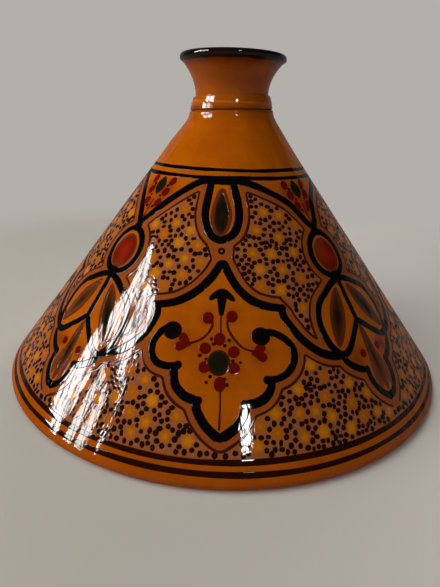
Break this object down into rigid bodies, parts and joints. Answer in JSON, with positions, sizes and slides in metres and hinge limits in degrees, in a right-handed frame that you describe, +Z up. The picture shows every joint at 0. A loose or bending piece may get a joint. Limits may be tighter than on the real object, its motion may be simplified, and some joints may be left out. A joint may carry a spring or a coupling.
{
  "type": "tagine pot",
  "caption": "Conical glazed tagine lid with a flared cup handle and painted arabesque, standing around the shallow dish it covers.",
  "frame": {"origin": "on the surface it stands on, at the common axis of the lid and the dish", "axes": "+Z up along the axis of both turned pieces; -Y towards the viewer, at the middle of one painted panel"},
  "size_m": [0.3, 0.3, 0.2006],
  "materials": {
    "honey_glaze": "glossy honey glaze over red earthenware, with slip-trailed black lines",
    "dish_glaze": "glossy honey glaze, bare terracotta under the foot"
  },
  "bodies": {
    "dish": {"base_dish": "dish_glaze"},
    "lid": {"conical_lid": "honey_glaze", "cup_handle": "honey_glaze"}
  },
  "joints": [
    {"name": "lid_lift", "type": "slide", "parent": "dish", "child": "lid", "axis": [0, 0, 1], "range_m": [0, 0.12]}
  ]
}
